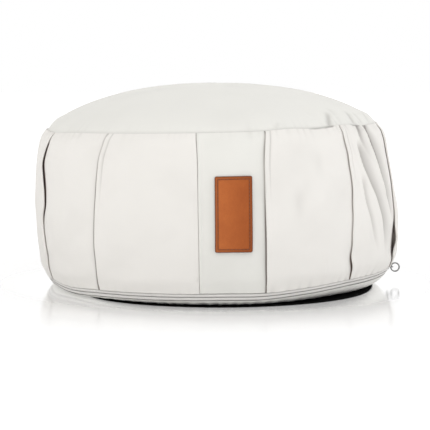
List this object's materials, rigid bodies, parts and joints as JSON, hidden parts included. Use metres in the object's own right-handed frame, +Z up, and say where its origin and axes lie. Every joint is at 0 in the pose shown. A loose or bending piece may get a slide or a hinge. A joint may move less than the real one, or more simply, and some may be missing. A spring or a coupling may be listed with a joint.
{
  "type": "zafu meditation cushion",
  "caption": "Round floor cushion for seated meditation: a filled drum with a knife-pleated side band, a domed top, a low zip band and a blank leather label.",
  "frame": {"origin": "middle of the round base, on the surface the cushion stands on", "axes": "+Z up through the crown; -Y is the front, where the label is; +X is the right side, where the zip ends"},
  "size_m": [0.3543, 0.3523, 0.1942],
  "materials": {
    "band_cloth": "warm off-white cotton twill, matt",
    "panel_cloth": "off-white cotton twill, a little cooler",
    "top_cloth": "off-white cotton twill, matt",
    "lip_cloth": "off-white folded cotton, pressed",
    "label_leather": "cognac brown leather, satin, darker at its edges",
    "zip_metal": "plated zip metal"
  },
  "bodies": {
    "root": {"filled_body": "band_cloth", "top_panel": "top_cloth", "label_panel": "panel_cloth", "base_panel": "top_cloth", "zip_lip_upper": "lip_cloth", "zip_lip_lower": "lip_cloth", "leather_label": "label_leather", "zip_slider": "zip_metal", "ring_pull": "zip_metal"}
  },
  "joints": []
}
